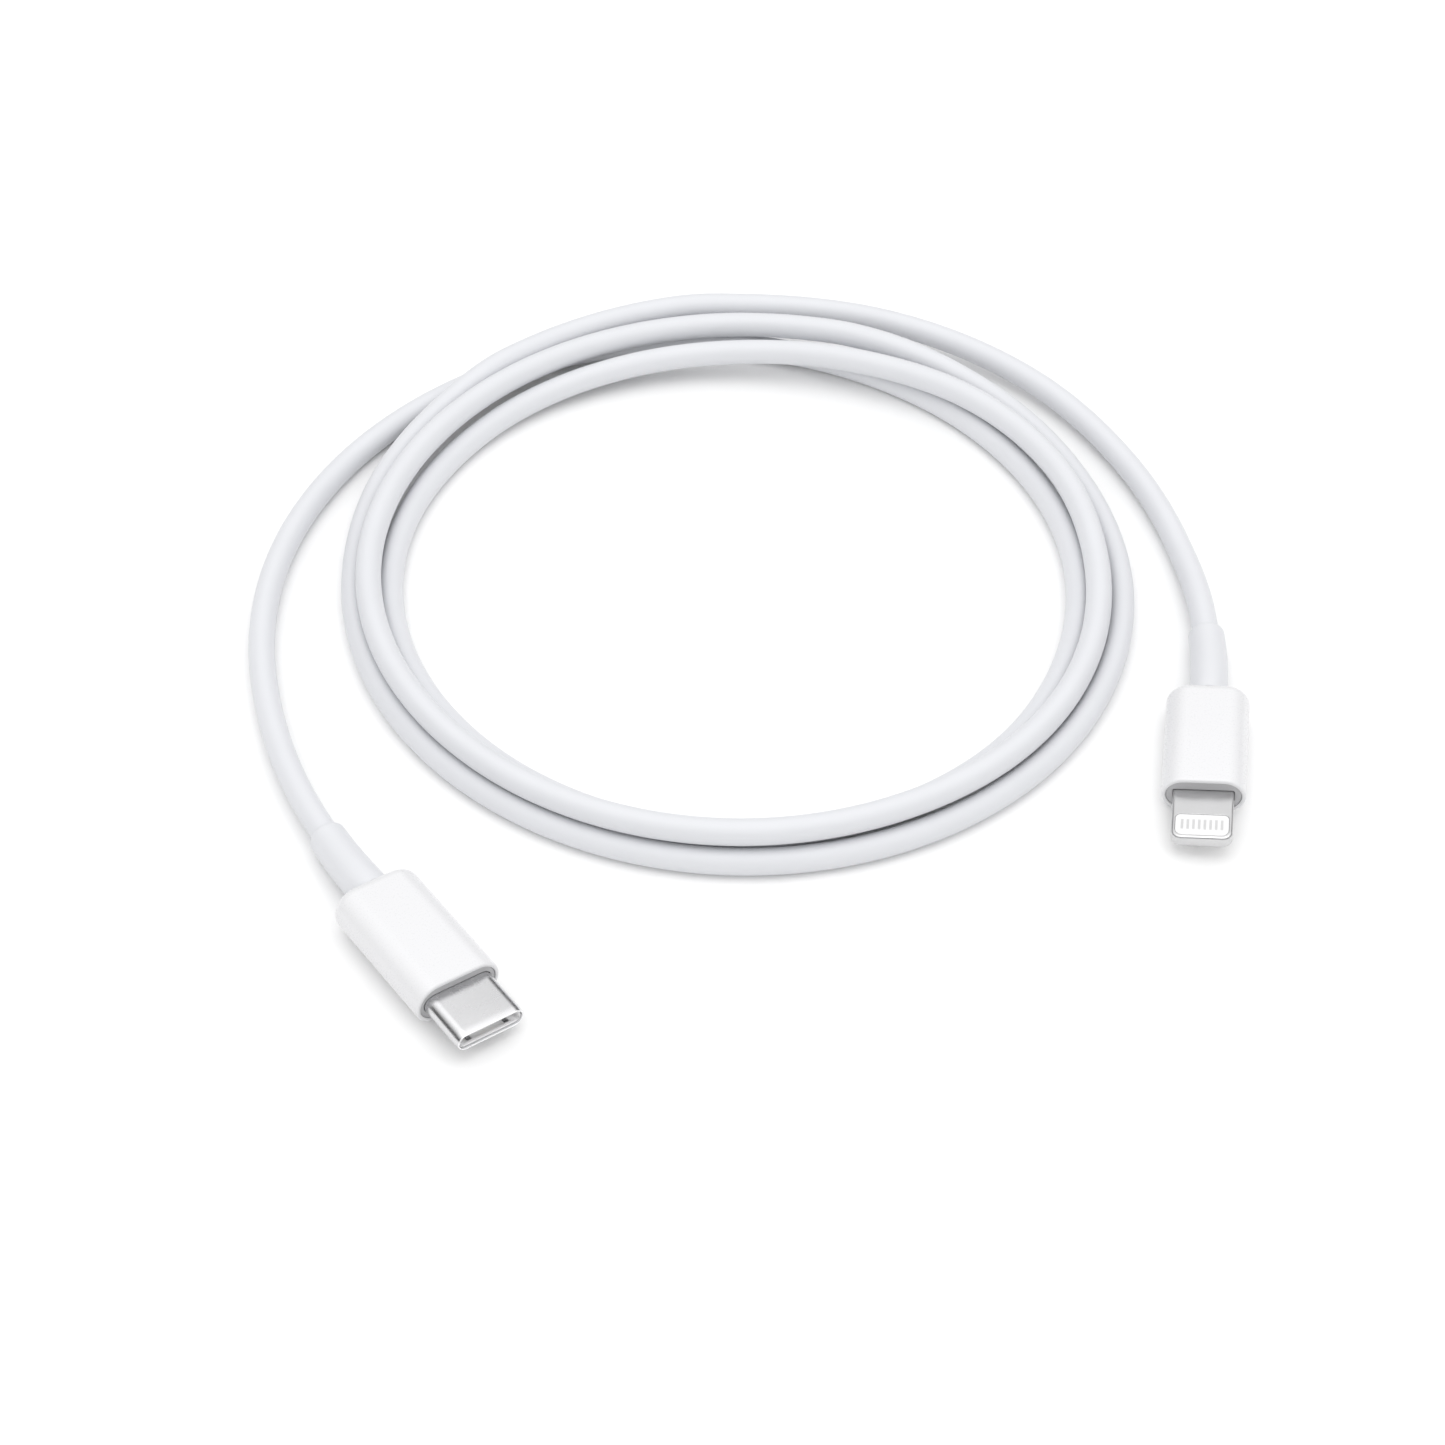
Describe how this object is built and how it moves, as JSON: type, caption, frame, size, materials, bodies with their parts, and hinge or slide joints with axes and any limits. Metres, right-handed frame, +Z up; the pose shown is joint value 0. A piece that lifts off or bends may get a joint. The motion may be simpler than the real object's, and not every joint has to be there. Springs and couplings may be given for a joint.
{
  "type": "charging cable",
  "caption": "Coiled white charging cable with a USB-C plug at one end and a thin reversible flat plug at the other; its tails swing, lift, twist and bend.",
  "frame": {"origin": "middle of the whole cable's outline seen from above, on the surface it lies on", "axes": "+Z up; -Y towards the side the plugs point to; +X to the right with the USB-C plug at the left"},
  "size_m": [0.1152, 0.1222, 0.0061],
  "materials": {
    "jacket": "satin, very light cool grey",
    "moulding": "smooth white",
    "can": "dull nickel",
    "plug_steel": "bright satin",
    "spring_steel": "bare",
    "insulator": "white",
    "housing": "light grey",
    "contact_metal": "plated",
    "board": "green solder mask",
    "chip": "black",
    "braid": "tinned wire braid",
    "wire_red": "red",
    "wire_black": "black",
    "wire_green": "green",
    "wire_white": "white"
  },
  "bodies": {
    "coil": {"jacket_coil": "jacket", "shield_braid": "braid", "wire_power": "wire_red", "wire_ground": "wire_black", "wire_data_plus": "wire_green", "wire_data_minus": "wire_white"},
    "flat_tail_1": {"jacket_flat_link_1": "jacket"},
    "flat_tail_2": {"jacket_flat_link_2": "jacket"},
    "flat_tail_3": {"jacket_flat_link_3": "jacket"},
    "flat_plug": {"jacket_flat_stub": "jacket", "flat_board": "board", "flat_boot": "moulding", "flat_can": "can", "flat_chip": "chip", "flat_contact_bottom_1": "contact_metal", "flat_contact_bottom_2": "contact_metal", "flat_contact_bottom_3": "contact_metal", "flat_contact_bottom_4": "contact_metal", "flat_contact_bottom_5": "contact_metal", "flat_contact_bottom_6": "contact_metal", "flat_contact_bottom_7": "contact_metal", "flat_contact_bottom_8": "contact_metal", "flat_contact_top_1": "contact_metal", "flat_contact_top_2": "contact_metal", "flat_contact_top_3": "contact_metal", "flat_contact_top_4": "contact_metal", "flat_contact_top_5": "contact_metal", "flat_contact_top_6": "contact_metal", "flat_contact_top_7": "contact_metal", "flat_contact_top_8": "contact_metal", "flat_insulator": "insulator", "flat_strain_relief": "moulding", "flat_tab": "plug_steel"},
    "usbc_tail_1": {"jacket_usbc_link_1": "jacket"},
    "usbc_tail_2": {"jacket_usbc_link_2": "jacket"},
    "usbc_tail_3": {"jacket_usbc_link_3": "jacket"},
    "usbc_plug": {"jacket_usbc_stub": "jacket", "usbc_board": "board", "usbc_boot": "moulding", "usbc_can": "can", "usbc_housing": "housing", "usbc_shell": "plug_steel", "usbc_spring_bottom": "spring_steel", "usbc_spring_top": "spring_steel", "usbc_strain_relief": "moulding"},
    "usbc_upper_contacts": {"usbc_contact_a1": "contact_metal", "usbc_contact_a12": "contact_metal", "usbc_contact_a4": "contact_metal", "usbc_contact_a5": "contact_metal", "usbc_contact_a6": "contact_metal", "usbc_contact_a7": "contact_metal", "usbc_contact_a9": "contact_metal"},
    "usbc_lower_contacts": {"usbc_contact_b1": "contact_metal", "usbc_contact_b12": "contact_metal", "usbc_contact_b4": "contact_metal", "usbc_contact_b5": "contact_metal", "usbc_contact_b9": "contact_metal"},
    "usbc_right_latch": {"usbc_latch_right": "plug_steel"},
    "usbc_left_latch": {"usbc_latch_left": "plug_steel"}
  },
  "joints": [
    {"name": "flat_tail_swing", "type": "hinge", "parent": "coil", "child": "flat_tail_1", "pos_m": [0.02369, 0.0561, 0.00266], "axis": [0, 0, 1], "range_deg": [-2, 50], "deforming": ["shield_braid", "wire_power", "wire_ground", "wire_data_plus", "wire_data_minus"]},
    {"name": "flat_tail_lift", "type": "hinge", "parent": "flat_tail_1", "child": "flat_tail_2", "pos_m": [0.0433, 0.03896, 0.00194], "axis": [-0.8385, -0.545, 0], "range_deg": [0, 40], "deforming": ["shield_braid", "wire_power", "wire_ground", "wire_data_plus", "wire_data_minus"]},
    {"name": "flat_tail_twist", "type": "hinge", "parent": "flat_tail_2", "child": "flat_tail_3", "pos_m": [0.05184, 0.01932, 0.00159], "axis": [0.2442, -0.9697, -0.0115], "range_deg": [-90, 90], "deforming": ["shield_braid", "wire_power", "wire_ground", "wire_data_plus", "wire_data_minus"]},
    {"name": "flat_plug_bend", "type": "hinge", "parent": "flat_tail_3", "child": "flat_plug", "pos_m": [0.05395, 0.00388, 0.0022], "axis": [0, 0, 1], "range_deg": [-12, 50], "deforming": ["shield_braid", "wire_power", "wire_ground", "wire_data_plus", "wire_data_minus"]},
    {"name": "usbc_tail_swing", "type": "hinge", "parent": "coil", "child": "usbc_tail_1", "pos_m": [-0.043, 0.03913, 0.00154], "axis": [0, 0, -1], "range_deg": [-5, 50], "deforming": ["shield_braid", "wire_power", "wire_ground", "wire_data_plus", "wire_data_minus"]},
    {"name": "usbc_tail_lift", "type": "hinge", "parent": "usbc_tail_1", "child": "usbc_tail_2", "pos_m": [-0.05402, 0.01971, 0.00154], "axis": [-0.9569, 0.2905, 0], "range_deg": [0, 40], "deforming": ["shield_braid", "wire_power", "wire_ground", "wire_data_plus", "wire_data_minus"]},
    {"name": "usbc_tail_twist", "type": "hinge", "parent": "usbc_tail_2", "child": "usbc_tail_3", "pos_m": [-0.05584, -0.00191, 0.00154], "axis": [0.1164, -0.9932, 0], "range_deg": [-90, 90], "deforming": ["shield_braid", "wire_power", "wire_ground", "wire_data_plus", "wire_data_minus"]},
    {"name": "usbc_plug_bend", "type": "hinge", "parent": "usbc_tail_3", "child": "usbc_plug", "pos_m": [-0.04686, -0.02899, 0.0022], "axis": [0, 0, -1], "range_deg": [-25, 50], "deforming": ["shield_braid", "wire_power", "wire_ground", "wire_data_plus", "wire_data_minus"]},
    {"name": "usbc_upper_contacts_flex", "type": "hinge", "parent": "usbc_plug", "child": "usbc_upper_contacts", "pos_m": [-0.02973, -0.0537, 0.00332], "axis": [-0.8008, -0.5926, 0.0872], "range_deg": [0, 1.2]},
    {"name": "usbc_lower_contacts_flex", "type": "hinge", "parent": "usbc_plug", "child": "usbc_lower_contacts", "pos_m": [-0.02979, -0.05374, 0.00252], "axis": [-0.8008, -0.5926, 0.0872], "range_deg": [-1.2, 0]},
    {"name": "usbc_right_latch_flex", "type": "hinge", "parent": "usbc_plug", "child": "usbc_right_latch", "pos_m": [-0.02704, -0.05171, 0.00262], "axis": [0.0701, 0.0518, 0.9962], "range_deg": [0, 2.6]},
    {"name": "usbc_left_latch_flex", "type": "hinge", "parent": "usbc_plug", "child": "usbc_left_latch", "pos_m": [-0.03248, -0.05573, 0.00322], "axis": [0.0701, 0.0518, 0.9962], "range_deg": [-2.6, 0]}
  ],
  "couplings": [
    {"joint": "usbc_lower_contacts_flex", "follows": "usbc_upper_contacts_flex", "ratio": -1},
    {"joint": "usbc_left_latch_flex", "follows": "usbc_right_latch_flex", "ratio": -1}
  ]
}
